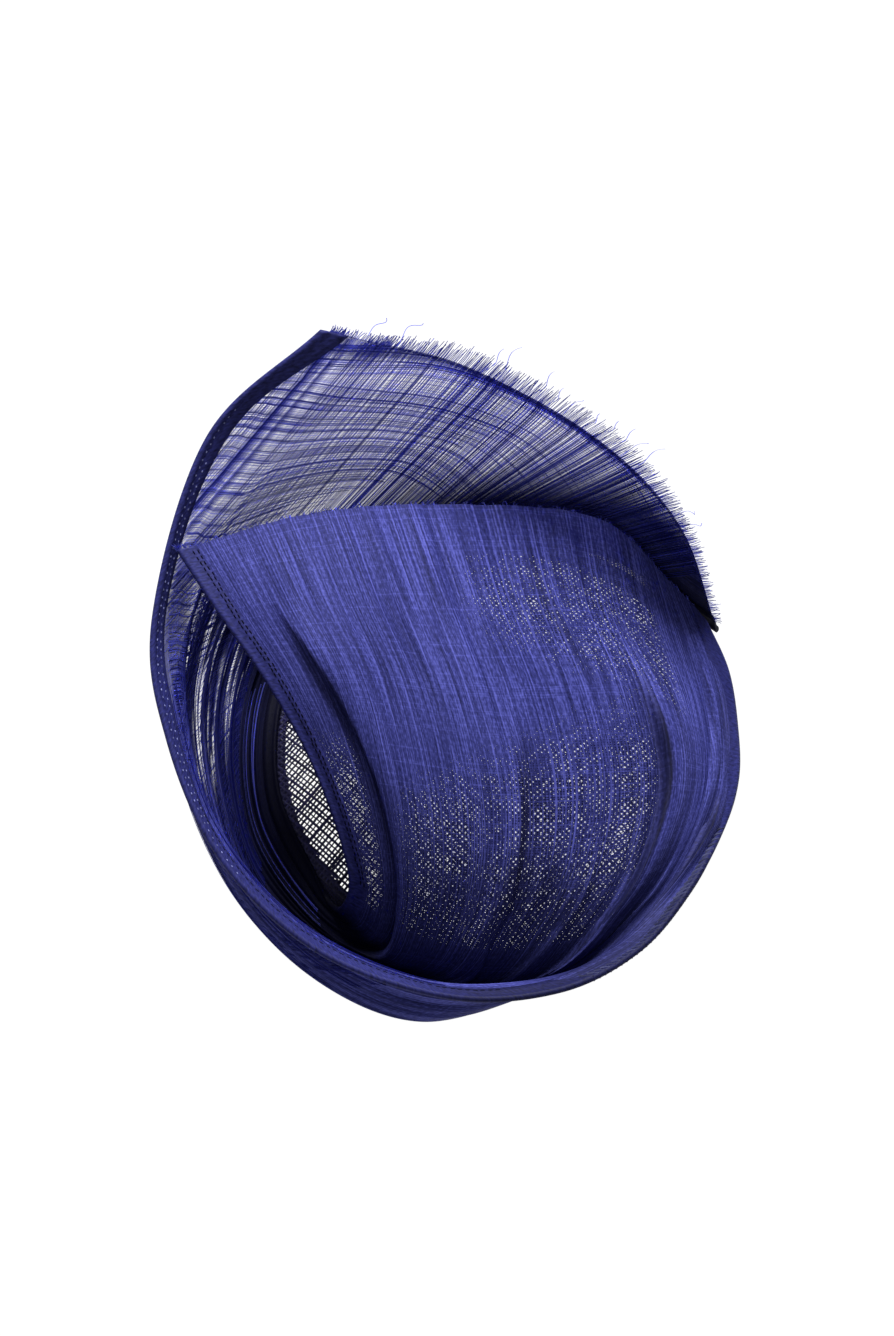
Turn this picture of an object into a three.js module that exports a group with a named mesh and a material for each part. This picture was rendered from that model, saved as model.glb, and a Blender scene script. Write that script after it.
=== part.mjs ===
// A swirled fascinator: one long strip of silk abaca cloth, hemmed over wire along both long edges,
// sewn round a shallow woven base. The strip lies across the top of the base, is gathered into a trough
// round its front and left, and fans out behind as a tall sail with a frayed end. A plain comb sits
// under the base. Millimetres, +Z up; the base's rim stands on z = 0.
import * as THREE from "three";

// Driving dimensions of the woven base: a shallow dome with a turned band and a flat foot round its rim.
const BASE_RADIUS = 89;
const BASE_RISE = 28;
const BASE_WALL = 1.5;
const FOOT_HEIGHT = 2.5;
const FOOT_WIDTH = 3;
const BAND_WIDTH = 11;
const BAND_STEP = 0.8;
const BASE_SIDES = 48;
const BASE_RINGS = 9;

// The cloth, its rolled hems and its frayed end.
const CLOTH_WALL = 1.2;
const HEM_WIDTH = 9;
const HEM_ROLL = 3;
const HEM_FOLD = 1.8;
const SEAM_GAP = 0.5;
const FRINGE_LOCKS = 36;
const FRINGE_LONG = 9;
const FRINGE_SHORT = 2.5;
const FRINGE_WALL = 1;
const STEPS_PER_STATION = 4;
const STEPS_ACROSS = 28;

// The comb: a spine with a row of teeth, flat, sewn up inside the hollow of the base.
const COMB_WIDTH = 60;
const COMB_SPINE = 8;
const COMB_TEETH = 12;
const COMB_TOOTH_LENGTH = 38;
const COMB_TOOTH_SHARE = 0.55;
const COMB_THICKNESS = 2.2;
const COMB_FRONT_Y = -62;
const COMB_TOP_Z = 9.9;

// Where the cloth runs. Each row is a station along the strip, from the raw edge across the top of the base
// to the frayed end behind it. Its points run across the strip, from the hem sewn to the base (inner)
// to the hem that stands free (outer), and are measured from the centre of the base.
const STATIONS = [
  {
    inner: [-122, 56, 67], lap: [-76, 71, 66], middle: [-27, 80, 56],
    shoulder: [36, 86, 30], neck: [66, 63, 19], outer: [80, 49, 13],
  },
  {
    inner: [-106, 31, 65], lap: [-63, 36, 68], middle: [-15, 40, 58],
    shoulder: [42, 49, 30], neck: [75, 37, 15], outer: [88, 31, 7],
  },
  {
    inner: [-89, 7, 60], lap: [-49, 5, 64], middle: [-2, 3, 57],
    shoulder: [55, 15, 28], neck: [81, 11, 13], outer: [91, 10, 4],
  },
  {
    inner: [-74, -17, 51], lap: [-40, -27, 56], middle: [6, -31, 51],
    shoulder: [61, -19, 26], neck: [82, -15, 15], outer: [91, -13, 8],
  },
  {
    inner: [-63, -41, 40], lap: [-35, -52, 43], middle: [6, -60, 41],
    shoulder: [55, -49, 25], neck: [75, -40, 19], outer: [85, -36, 14],
  },
  {
    inner: [-57, -61, 25], lap: [-35, -72, 26], middle: [-2, -80, 25],
    shoulder: [41, -73, 20], neck: [59, -68, 20], outer: [72, -64, 23],
  },
  {
    inner: [-62, -66, 10], lap: [-44, -84, 8], middle: [-19, -94, 7],
    shoulder: [17, -98, 11], neck: [36, -91, 22], outer: [52, -91, 31],
  },
  {
    inner: [-70, -50, 6], lap: [-70, -70, 3], middle: [-56, -90, 5],
    shoulder: [-28, -113, 17], neck: [2, -104, 31], outer: [22, -110, 39],
  },
  {
    inner: [-84, -15, 5.8], lap: [-94, -34, 3], middle: [-90, -65, 7],
    shoulder: [-71, -95, 20], neck: [-36, -102, 35], outer: [-19, -114, 43],
  },
  {
    inner: [-81.6, 25.6, 5.2], lap: [-98, 14, 4], middle: [-109, -15, 11],
    shoulder: [-104, -57, 25], neck: [-78, -80, 39], outer: [-67, -98, 47],
  },
  {
    inner: [-63.7, 57, 5.2], lap: [-83, 55, 6], middle: [-106, 38, 16],
    shoulder: [-122, -4, 32], neck: [-108, -42, 43], outer: [-104, -63, 51],
  },
  {
    inner: [-32.4, 79, 5.2], lap: [-51, 88, 9], middle: [-78, 83, 23],
    shoulder: [-113, 51, 41], neck: [-120, 4, 48], outer: [-125, -16, 55],
  },
  {
    inner: [3, 85.5, 5.2], lap: [-8, 102, 15], middle: [-35, 111, 34],
    shoulder: [-83, 97, 53], neck: [-119, 49, 56], outer: [-131, 31, 61],
  },
  {
    inner: [46, 78, 4], lap: [43, 97, 29], middle: [17, 115, 52],
    shoulder: [-37, 126, 69], neck: [-95, 105, 75], outer: [-111, 99, 77],
  },
  {
    inner: [84, 49, 4], lap: [68, 74, 51], middle: [36, 102, 69],
    shoulder: [-12, 124, 85], neck: [-51, 132, 92], outer: [-68, 135, 95],
  },
];

// How far across the strip each of those points lies, as a share of its width.
const RAILS = [
  { name: "inner", at: 0 },
  { name: "lap", at: 0.25 },
  { name: "middle", at: 0.5 },
  { name: "shoulder", at: 0.75 },
  { name: "neck", at: 0.92 },
  { name: "outer", at: 1 },
];

// The folds of the cloth. Each lies at a place across the strip, between two stations, and is pressed in
// by its depth, or raised where the depth is negative.
const FOLDS = [
  { at: 0.17, width: 0.04, depth: 5, from: 1, to: 6.5 },
  { at: 0.29, width: 0.05, depth: -2, from: 2, to: 6.5 },
  { at: 0.42, width: 0.05, depth: 2.5, from: 2.5, to: 6.5 },
  { at: 0.5, width: 0.04, depth: -2.5, from: 2.5, to: 7 },
  { at: 0.61, width: 0.05, depth: 3, from: 3, to: 7 },
  { at: 0.75, width: 0.04, depth: 4.5, from: 1.5, to: 6.5 },
  { at: 0.84, width: 0.04, depth: -2, from: 1.5, to: 6 },
];
const GATHERS = 9;
const GATHER_DEPTH = 1.6;
const GATHER_FROM = 6;
const GATHER_TO = 12.5;
const FOLD_EASE = 1.5;

const LAST_STATION = STATIONS.length - 1;

// A line through the stations for each rail, and a line across the strip at any place along it.
const rails = RAILS.map((rail) => {
  const points = STATIONS.map((station) => new THREE.Vector3(...station[rail.name]));
  return new THREE.CatmullRomCurve3(points, false, "catmullrom", 0.5);
});

function plainPoint(across, along) {
  const knots = rails.map((rail) => rail.getPoint(along / LAST_STATION));
  const span = Math.max(1, RAILS.findIndex((rail) => rail.at >= across));
  const [from, to] = [RAILS[span - 1].at, RAILS[span].at];
  const share = (span - 1 + (across - from) / (to - from)) / (RAILS.length - 1);
  return new THREE.CatmullRomCurve3(knots, false, "catmullrom", 0.5).getPoint(share);
}

// Directions of the plain cloth at a point: across the strip, along it, and out of its face.
function clothFrame(point, across, along) {
  const step = 0.01;
  const slope = (du, dv) => {
    const after = point(Math.min(across + du, 1), Math.min(along + dv, LAST_STATION));
    const before = point(Math.max(across - du, 0), Math.max(along - dv, 0));
    return after.sub(before);
  };
  const acrossSlope = slope(step, 0);
  const acrossRange = Math.min(across + step, 1) - Math.max(across - step, 0);
  const acrossRate = acrossSlope.length() / acrossRange;
  const acrossWay = acrossSlope.normalize();
  const alongWay = slope(0, step * LAST_STATION).normalize();
  const out = new THREE.Vector3().crossVectors(alongWay, acrossWay).normalize();
  return { acrossWay, alongWay, out, acrossRate };
}

// How far the folds and gathers push the cloth out of its plain surface.
function foldHeight(across, along) {
  const inWindow = (from, to) =>
    THREE.MathUtils.smoothstep(along, from, from + FOLD_EASE) *
    (1 - THREE.MathUtils.smoothstep(along, to - FOLD_EASE, to));
  let height = 0;
  for (const fold of FOLDS) {
    const offset = (across - fold.at) / fold.width;
    height -= fold.depth * inWindow(fold.from, fold.to) * Math.exp(-offset * offset);
  }
  const flatAtHems = Math.sin(Math.PI * across);
  const ripple = Math.sin(2 * Math.PI * GATHERS * across);
  return height + GATHER_DEPTH * flatAtHems * ripple * inWindow(GATHER_FROM, GATHER_TO);
}

function clothPoint(across, along) {
  const { out } = clothFrame(plainPoint, across, along);
  return plainPoint(across, along).addScaledVector(out, foldHeight(across, along));
}

// The share of the strip's width, at a place along it, that a hem takes at its inner or outer edge.
function hemShare(edge, along) {
  return HEM_WIDTH / clothFrame(plainPoint, edge, along).acrossRate;
}

// Closes a wall from rows of points: each row has a top line and an underline of as many points.
function closedWall(rows) {
  const columns = rows[0].top.length;
  const positions = [];
  for (const row of rows) {
    for (const point of [...row.top, ...row.under]) {
      positions.push(point.x, point.y, point.z);
    }
  }
  const top = (row, column) => row * 2 * columns + column;
  const under = (row, column) => top(row, column) + columns;
  const index = [];
  const quad = (a, b, c, d) => index.push(a, b, c, a, c, d);
  for (let row = 0; row < rows.length - 1; row += 1) {
    for (let column = 0; column < columns - 1; column += 1) {
      quad(top(row, column), top(row, column + 1), top(row + 1, column + 1), top(row + 1, column));
      quad(under(row, column), under(row + 1, column), under(row + 1, column + 1), under(row, column + 1));
    }
    const end = columns - 1;
    quad(top(row, 0), top(row + 1, 0), under(row + 1, 0), under(row, 0));
    quad(top(row, end), under(row, end), under(row + 1, end), top(row + 1, end));
  }
  const last = rows.length - 1;
  for (let column = 0; column < columns - 1; column += 1) {
    quad(top(0, column), under(0, column), under(0, column + 1), top(0, column + 1));
    quad(top(last, column), top(last, column + 1), under(last, column + 1), under(last, column));
  }
  const geometry = new THREE.BufferGeometry();
  geometry.setAttribute("position", new THREE.Float32BufferAttribute(positions, 3));
  geometry.setIndex(index);
  return facingOut(geometry);
}

// Turns a closed geometry's faces round if they point inwards.
function facingOut(geometry) {
  const position = geometry.getAttribute("position");
  const index = geometry.getIndex().array;
  const [a, b, c] = [new THREE.Vector3(), new THREE.Vector3(), new THREE.Vector3()];
  let volume = 0;
  for (let i = 0; i < index.length; i += 3) {
    a.fromBufferAttribute(position, index[i]);
    b.fromBufferAttribute(position, index[i + 1]);
    c.fromBufferAttribute(position, index[i + 2]);
    volume += a.dot(b.cross(c));
  }
  if (volume < 0) {
    for (let i = 0; i < index.length; i += 3) {
      [index[i + 1], index[i + 2]] = [index[i + 2], index[i + 1]];
    }
  }
  return geometry;
}

// Places along the strip, a few between each two stations.
function placesAlong() {
  const steps = LAST_STATION * STEPS_PER_STATION;
  return Array.from({ length: steps + 1 }, (_, i) => i / STEPS_PER_STATION);
}

// The cloth between its two hems.
function clothGeometry() {
  const rows = placesAlong().map((along) => {
    const first = hemShare(0, along) + SEAM_GAP / clothFrame(plainPoint, 0, along).acrossRate;
    const last = 1 - hemShare(1, along) - SEAM_GAP / clothFrame(plainPoint, 1, along).acrossRate;
    const row = { top: [], under: [] };
    for (let i = 0; i <= STEPS_ACROSS; i += 1) {
      const across = THREE.MathUtils.lerp(first, last, i / STEPS_ACROSS);
      const point = clothPoint(across, along);
      const { out } = clothFrame(plainPoint, across, along);
      row.top.push(point.clone().addScaledVector(out, CLOTH_WALL / 2));
      row.under.push(point.clone().addScaledVector(out, -CLOTH_WALL / 2));
    }
    return row;
  });
  return closedWall(rows);
}

// A rolled hem along one long edge: thick where it turns over its wire, thin where it is stitched down.
function hemGeometry(edge) {
  const section = [
    { from: 0, half: HEM_ROLL * 0.25 },
    { from: 0.08, half: HEM_ROLL * 0.45 },
    { from: 0.24, half: HEM_ROLL * 0.5 },
    { from: 0.4, half: HEM_FOLD * 0.5 },
    { from: 1, half: HEM_FOLD * 0.5 },
  ];
  const inwards = edge === 0 ? 1 : -1;
  const rows = placesAlong().map((along) => {
    const share = hemShare(edge, along);
    const row = { top: [], under: [] };
    for (const { from, half } of section) {
      const across = edge + inwards * share * from;
      const point = plainPoint(across, along);
      const { out } = clothFrame(plainPoint, across, along);
      row.top.push(point.clone().addScaledVector(out, half));
      row.under.push(point.clone().addScaledVector(out, -half));
    }
    return row;
  });
  return closedWall(rows);
}

// The frayed end: pointed locks of loose threads that run on from the cloth.
function fringeGeometry() {
  const first = hemShare(0, LAST_STATION);
  const last = 1 - hemShare(1, LAST_STATION);
  const rows = [];
  for (let i = 0; i <= 2 * FRINGE_LOCKS; i += 1) {
    const across = THREE.MathUtils.lerp(first, last, i / (2 * FRINGE_LOCKS));
    const { alongWay, out } = clothFrame(plainPoint, across, LAST_STATION);
    const length = i % 2 ? FRINGE_LONG : FRINGE_SHORT;
    const root = clothPoint(across, LAST_STATION).addScaledVector(alongWay, SEAM_GAP);
    const tip = root.clone().addScaledVector(alongWay, length);
    const lift = out.multiplyScalar(FRINGE_WALL / 2);
    rows.push({
      top: [root.clone().add(lift), tip.clone().add(lift)],
      under: [root.clone().sub(lift), tip.clone().sub(lift)],
    });
  }
  return closedWall(rows);
}

// The woven base: a dome of even wall, doubled in a band along its rim and turned to a flat foot.
function baseGeometry() {
  const domeRadius = (BASE_RADIUS ** 2 + BASE_RISE ** 2) / (2 * BASE_RISE);
  const domeHeight = (radius) => Math.sqrt(domeRadius ** 2 - radius ** 2) - domeRadius + BASE_RISE;
  const fieldRadius = BASE_RADIUS - BAND_WIDTH;
  const footRadius = BASE_RADIUS - FOOT_WIDTH;
  const rings = Array.from({ length: BASE_RINGS + 1 }, (_, i) => (fieldRadius * i) / BASE_RINGS);
  const profile = [
    ...rings.map((radius) => new THREE.Vector2(radius, domeHeight(radius) - BASE_WALL)),
    new THREE.Vector2(footRadius, 0),
    new THREE.Vector2(BASE_RADIUS, 0),
    new THREE.Vector2(BASE_RADIUS, FOOT_HEIGHT),
    new THREE.Vector2(footRadius, domeHeight(footRadius) + BAND_STEP),
    new THREE.Vector2(fieldRadius, domeHeight(fieldRadius) + BAND_STEP),
    ...rings.reverse().map((radius) => new THREE.Vector2(radius, domeHeight(radius))),
  ];
  return new THREE.LatheGeometry(profile, BASE_SIDES).rotateX(Math.PI / 2);
}

// The comb, as one flat outline of a spine and its teeth.
function combGeometry() {
  const pitch = COMB_WIDTH / COMB_TEETH;
  const tooth = pitch * COMB_TOOTH_SHARE;
  const outline = new THREE.Shape();
  outline.moveTo(-COMB_WIDTH / 2, 0);
  outline.lineTo(COMB_WIDTH / 2, 0);
  outline.lineTo(COMB_WIDTH / 2, COMB_SPINE);
  for (let i = COMB_TEETH - 1; i >= 0; i -= 1) {
    const middle = (i + 0.5) * pitch - COMB_WIDTH / 2;
    outline.lineTo(middle + tooth / 2, COMB_SPINE);
    outline.lineTo(middle + tooth / 4, COMB_SPINE + COMB_TOOTH_LENGTH);
    outline.lineTo(middle - tooth / 4, COMB_SPINE + COMB_TOOTH_LENGTH);
    outline.lineTo(middle - tooth / 2, COMB_SPINE);
  }
  outline.lineTo(-COMB_WIDTH / 2, COMB_SPINE);
  return new THREE.ExtrudeGeometry(outline, { depth: COMB_THICKNESS, bevelEnabled: false });
}

const SILK_BLUE = 0x3c3f8f;
const HEM_BLUE = 0x2f3279;
const WEAVE_BLUE = 0x1b1c52;
const COMB_CLEAR = 0xdfe2f4;
const silk = new THREE.MeshStandardMaterial({ color: SILK_BLUE, roughness: 0.55, metalness: 0 });
const hemSilk = new THREE.MeshStandardMaterial({ color: HEM_BLUE, roughness: 0.6, metalness: 0 });
const straw = new THREE.MeshStandardMaterial({ color: WEAVE_BLUE, roughness: 0.7, metalness: 0 });
const combPlastic = new THREE.MeshStandardMaterial({ color: COMB_CLEAR, roughness: 0.2, metalness: 0 });

function piece(name, geometry, material) {
  const mesh = new THREE.Mesh(geometry, material);
  mesh.name = name;
  return mesh;
}

const comb = piece("hair_comb", combGeometry(), combPlastic);
comb.position.set(0, COMB_FRONT_Y, COMB_TOP_Z - COMB_THICKNESS);

const swirl = new THREE.Group();
swirl.add(
  piece("sinamay_base", baseGeometry(), straw),
  piece("silk_swirl", clothGeometry(), silk),
  piece("wired_hem_inner", hemGeometry(0), hemSilk),
  piece("wired_hem_outer", hemGeometry(1), hemSilk),
  piece("frayed_fringe", fringeGeometry(), silk),
  comb,
);

// The part's origin is under the middle of its bounding box, on the surface that it stands on.
const bounds = new THREE.Box3().setFromObject(swirl);
const middle = bounds.getCenter(new THREE.Vector3());
swirl.position.set(-middle.x, -middle.y, 0);

const fascinator = new THREE.Group();
fascinator.add(swirl);

export default fascinator;
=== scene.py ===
import math

import bmesh
import bpy
import numpy as np
from mathutils import Matrix, Vector


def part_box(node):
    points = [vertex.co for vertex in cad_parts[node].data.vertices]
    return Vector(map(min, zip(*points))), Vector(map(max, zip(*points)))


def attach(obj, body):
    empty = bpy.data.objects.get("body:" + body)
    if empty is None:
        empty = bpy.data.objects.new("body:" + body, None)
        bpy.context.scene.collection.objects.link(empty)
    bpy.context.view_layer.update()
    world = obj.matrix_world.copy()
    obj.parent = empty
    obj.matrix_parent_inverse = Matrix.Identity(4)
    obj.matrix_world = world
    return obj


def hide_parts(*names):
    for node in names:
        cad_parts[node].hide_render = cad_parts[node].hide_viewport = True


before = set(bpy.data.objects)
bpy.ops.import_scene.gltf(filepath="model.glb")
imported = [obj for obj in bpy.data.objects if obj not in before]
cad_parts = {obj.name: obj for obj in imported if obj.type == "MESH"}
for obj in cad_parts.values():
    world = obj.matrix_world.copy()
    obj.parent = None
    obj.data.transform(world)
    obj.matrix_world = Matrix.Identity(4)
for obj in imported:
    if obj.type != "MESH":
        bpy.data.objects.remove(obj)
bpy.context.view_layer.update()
scene = bpy.context.scene


# Studio. The piece lies on a white table that is lit until it clips, so that light also comes up
# through the open weave. Two large soft boxes stand above it, and the camera looks down from the front.
MM = 0.001
FLOOR_HALF = 4.0
FLOOR_DROP = 0.2 * MM
CAMERA_ELEVATION = math.radians(68)
CAMERA_DISTANCE = 2820 * MM
CAMERA_LENS = 200
AIM_FROM_BASE = np.array([-20.1, 23.5, 30.0]) * MM

base_low, base_high = (np.array(corner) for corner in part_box("sinamay_base"))
base_centre = np.array([*(base_low + base_high)[:2] / 2, base_low[2]])
aim = base_centre + AIM_FROM_BASE


def linear(colour):
    """An sRGB hex colour as linear red, green, blue and a full alpha."""
    shares = [int(colour[i : i + 2], 16) / 255 for i in (1, 3, 5)]
    return [s / 12.92 if s <= 0.04045 else ((s + 0.055) / 1.055) ** 2.4 for s in shares] + [1]


def add_node(tree, kind, inputs=None, **settings):
    """A node with its settings, and with values or links in its inputs."""
    node = tree.nodes.new(kind)
    for name, value in settings.items():
        setattr(node, name, value)
    for name, value in (inputs or {}).items():
        if isinstance(value, bpy.types.NodeSocket):
            tree.links.new(value, node.inputs[name])
        else:
            node.inputs[name].default_value = value
    return node


def new_material(name):
    """An empty node material, and its tree."""
    material = bpy.data.materials.new(name)
    material.use_nodes = True
    material.node_tree.nodes.clear()
    return material, material.node_tree


def set_surface(tree, inputs):
    """The surface of a material: one shader with these inputs."""
    shader = add_node(tree, "ShaderNodeBsdfPrincipled", inputs)
    add_node(tree, "ShaderNodeOutputMaterial", {"Surface": shader.outputs["BSDF"]})


def new_object(name, mesh, material):
    """A mesh as an object of the scene, at the origin, with one material."""
    made = bpy.data.objects.new(name, mesh)
    mesh.materials.append(material)
    scene.collection.objects.link(made)
    return made


# White laminate: its light is its own, so that it stays just white whatever falls on it.
white_table, tree = new_material("white_laminate")
set_surface(tree, {
    "Base Color": linear("#282828"),
    "Roughness": 0.8,
    "Emission Color": linear("#ffffff"),
    "Emission Strength": 1.0,
})

bm = bmesh.new()
bmesh.ops.create_grid(bm, x_segments=1, y_segments=1, size=FLOOR_HALF)
bmesh.ops.translate(bm, verts=bm.verts, vec=(0, 0, -FLOOR_DROP))
mesh = bpy.data.meshes.new("table")
bm.to_mesh(mesh)
bm.free()
new_object("table", mesh, white_table)

camera_data = bpy.data.cameras.new("camera")
camera_data.lens = CAMERA_LENS
camera_data.sensor_width = 36
camera_data.clip_end = 50
camera = bpy.data.objects.new("camera", camera_data)
camera_side = np.array([0, -math.cos(CAMERA_ELEVATION), math.sin(CAMERA_ELEVATION)])
camera.location = aim + CAMERA_DISTANCE * camera_side
camera.rotation_euler = (math.pi / 2 - CAMERA_ELEVATION, 0, 0)
scene.collection.objects.link(camera)
scene.camera = camera

SOFT_BOXES = [
    # name, place from the aim in metres, width in metres, watts
    ("back_box", (-0.1, 1.9, 1.6), 0.9, 130),
    ("front_box", (0.2, -1.4, 1.6), 1.0, 6),
]
for name, place, width, watts in SOFT_BOXES:
    light = bpy.data.lights.new(name, "AREA")
    light.size = width
    light.energy = watts
    box = bpy.data.objects.new(name, light)
    box.location = aim + np.array(place)
    box.rotation_euler = (-Vector(place)).to_track_quat("-Z", "Y").to_euler()
    scene.collection.objects.link(box)

world = bpy.data.worlds.new("white_room")
world.use_nodes = True
world.node_tree.nodes["Background"].inputs["Color"].default_value = linear("#ffffff")
world.node_tree.nodes["Background"].inputs["Strength"].default_value = 0.1
scene.world = world
scene.view_settings.view_transform = "Standard"


# Base. Sinamay, banana fibre in an open plain weave, laid on the bias over a shallow block and stiffened.
# The two sets of fibres cross over and under each other and run in under the band round the rim.
BASE_RADIUS = 89 * MM
BASE_RISE = 28 * MM
BASE_WALL = 1.5 * MM
BAND_WIDTH = 7 * MM
BAND_STEP = 0.8 * MM
FOOT_WIDTH = 3 * MM
FOOT_HEIGHT = 2.5 * MM
FIBRE_PITCH = 1.67 * MM
FIBRE_WIDTH = 1.0 * MM
FIBRE_DEPTH = 0.3 * MM
FIBRE_WAVE = 0.17 * MM
FIBRE_END = BASE_RADIUS - 0.5 * BAND_WIDTH
FIBRE_ANGLES = (math.radians(45), math.radians(135))
STRAW_DARK = "#14123a"
STRAW_LIGHT = "#3a3778"

dome_radius = (BASE_RADIUS**2 + BASE_RISE**2) / (2 * BASE_RISE)


def dome_height(radius):
    """Height of the dome's outer face at a distance from its middle."""
    return np.sqrt(dome_radius**2 - radius**2) - dome_radius + BASE_RISE


def thread_mesh(name, threads):
    """One mesh of many fine threads. Each has its path, the way its flat face looks, its widths, its depth
    and its shade; its section is a lozenge, closed at both ends."""
    corners, faces, shades, start = [], [], [], 0
    for path, up, width, depth, shade in threads:
        count = len(path)
        ahead = np.gradient(path, axis=0)
        side = np.cross(ahead, up)
        side /= np.linalg.norm(side, axis=1, keepdims=True) + 1e-12
        half = np.broadcast_to(width, count)[:, None] / 2
        lift = up * np.broadcast_to(depth, count)[:, None] / 2
        ring = np.stack([path + side * half, path + lift, path - side * half, path - lift], axis=1)
        index = start + np.arange(4 * count).reshape(count, 4)
        after = np.roll(index, -1, axis=1)
        faces.append(np.stack([index[:-1], index[1:], after[1:], after[:-1]], axis=2).reshape(-1, 4))
        faces.append(index[:1])
        faces.append(index[-1:, ::-1])
        corners.append(ring.reshape(-1, 3))
        shades.append(np.full(4 * count, shade))
        start += 4 * count
    made = bpy.data.meshes.new(name)
    made.from_pydata(np.concatenate(corners).tolist(), [], np.concatenate(faces).tolist())
    made.attributes.new("shade", "FLOAT", "POINT").data.foreach_set("value", np.concatenate(shades))
    return made


def attribute(tree, name):
    """What the mesh says under a name at each point."""
    return add_node(tree, "ShaderNodeAttribute", attribute_name=name).outputs["Fac"]


def calculate(tree, operation, *values):
    """The result of one sum on values or links."""
    return add_node(tree, "ShaderNodeMath", dict(enumerate(values)), operation=operation).outputs[0]


def blend(tree, share, first, second):
    """A colour some share of the way from one colour to another."""
    return add_node(tree, "ShaderNodeMix", {0: share, 6: first, 7: second}, data_type="RGBA").outputs[2]


rng = np.random.default_rng(11)
fibres = []
fibre_count = int(FIBRE_END / FIBRE_PITCH)
for turn, angle in enumerate(FIBRE_ANGLES):
    ahead = np.array([math.cos(angle), math.sin(angle), 0])
    aside = np.array([-math.sin(angle), math.cos(angle), 0])
    for i in range(-fibre_count, fibre_count + 1):
        reach = math.sqrt(FIBRE_END**2 - (i * FIBRE_PITCH) ** 2)
        crossings = np.arange(-int(reach / FIBRE_PITCH), int(reach / FIBRE_PITCH) + 1)
        if len(crossings) < 3:
            continue
        drift = 0.12 * FIBRE_PITCH * np.sin(crossings * rng.uniform(0.05, 0.2) + rng.uniform(0, 6))
        flat = crossings[:, None] * FIBRE_PITCH * ahead + (i * FIBRE_PITCH + drift)[:, None] * aside
        height = dome_height(np.linalg.norm(flat, axis=1)) - BASE_WALL / 2
        up = np.stack([flat[:, 0], flat[:, 1], height + dome_radius - BASE_RISE], axis=1)
        up /= np.linalg.norm(up, axis=1, keepdims=True)
        flat[:, 2] = height
        over = np.where((crossings + i + turn) % 2, FIBRE_WAVE, -FIBRE_WAVE)
        path = base_centre + flat + over[:, None] * up
        width = FIBRE_WIDTH * rng.choice([0.6, 0.85, 1.0, 1.2, 1.4], p=[0.2, 0.25, 0.3, 0.17, 0.08])
        fibres.append((path, up, width, FIBRE_DEPTH, rng.uniform(0, 1)))

# Dyed banana fibre: a dry straw with a low waxy gloss, streaked along each fibre by the dye.
straw, tree = new_material("dyed_sinamay_straw")
place = add_node(tree, "ShaderNodeTexCoord")
streak = add_node(tree, "ShaderNodeTexNoise", {
    "Vector": place.outputs["Object"], "Scale": 900.0, "Detail": 3.0,
})
mixed = calculate(tree, "MULTIPLY", attribute(tree, "shade"), streak.outputs["Fac"])
colour = blend(tree, mixed, linear(STRAW_DARK), linear(STRAW_LIGHT))
bump = add_node(tree, "ShaderNodeBump", {
    "Height": streak.outputs["Fac"], "Strength": 0.3, "Distance": 0.05 * MM,
})
set_surface(tree, {
    "Base Color": colour, "Roughness": 0.55, "IOR": 1.5, "Normal": bump.outputs["Normal"],
})

base_weave = new_object("sinamay_weave", thread_mesh("sinamay_weave", fibres), straw)
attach(base_weave, "root")
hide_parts("sinamay_base")


# Rim band. A bias strip of the same sinamay, folded over the cut edge of the base and stiffened, so that
# the rim is two layers thick and dark. It turns under into the flat foot that the base stands on.
BAND_STEPS = 128
BAND_CROSSINGS = 56
field_radius = BASE_RADIUS - BAND_WIDTH
foot_radius = BASE_RADIUS - FOOT_WIDTH
band_profile = [
    (field_radius, float(dome_height(field_radius)) + BAND_STEP),
    (foot_radius, float(dome_height(foot_radius)) + BAND_STEP),
    (BASE_RADIUS, FOOT_HEIGHT),
    (BASE_RADIUS, 0),
    (foot_radius, 0),
    (field_radius, float(dome_height(field_radius)) - BASE_WALL),
]
bm = bmesh.new()
loop = [bm.verts.new((radius, 0, height)) for radius, height in band_profile]
edges = [bm.edges.new((loop[i - 1], loop[i])) for i in range(len(loop))]
bmesh.ops.spin(
    bm, geom=loop + edges, cent=(0, 0, 0), axis=(0, 0, 1), angle=2 * math.pi, steps=BAND_STEPS,
    use_merge=True,
)
bmesh.ops.remove_doubles(bm, verts=bm.verts, dist=1e-6)
bmesh.ops.recalc_face_normals(bm, faces=bm.faces)
bmesh.ops.translate(bm, verts=bm.verts, vec=base_centre)
mesh = bpy.data.meshes.new("rim_band")
bm.to_mesh(mesh)
bm.free()

# The same straw, doubled and pressed: the two layers close the holes and leave a diagonal rib.
pressed_straw, tree = new_material("pressed_sinamay_band")
place = add_node(tree, "ShaderNodeTexCoord")
turned = add_node(tree, "ShaderNodeMapping", {
    "Vector": place.outputs["Object"], "Rotation": (0, 0, math.radians(45)),
})
ribs = calculate(tree, "MAXIMUM", *(
    add_node(tree, "ShaderNodeTexWave", {
        "Vector": turned.outputs[0], "Scale": 0.5 / FIBRE_PITCH, "Distortion": 1.5,
    }, bands_direction=axis).outputs["Fac"]
    for axis in "XY"
))
colour = blend(tree, ribs, linear("#07061a"), linear("#1d1a4a"))
bump = add_node(tree, "ShaderNodeBump", {"Height": ribs, "Strength": 0.6, "Distance": 0.2 * MM})
set_surface(tree, {
    "Base Color": colour, "Roughness": 0.6, "IOR": 1.5, "Normal": bump.outputs["Normal"],
})

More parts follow.
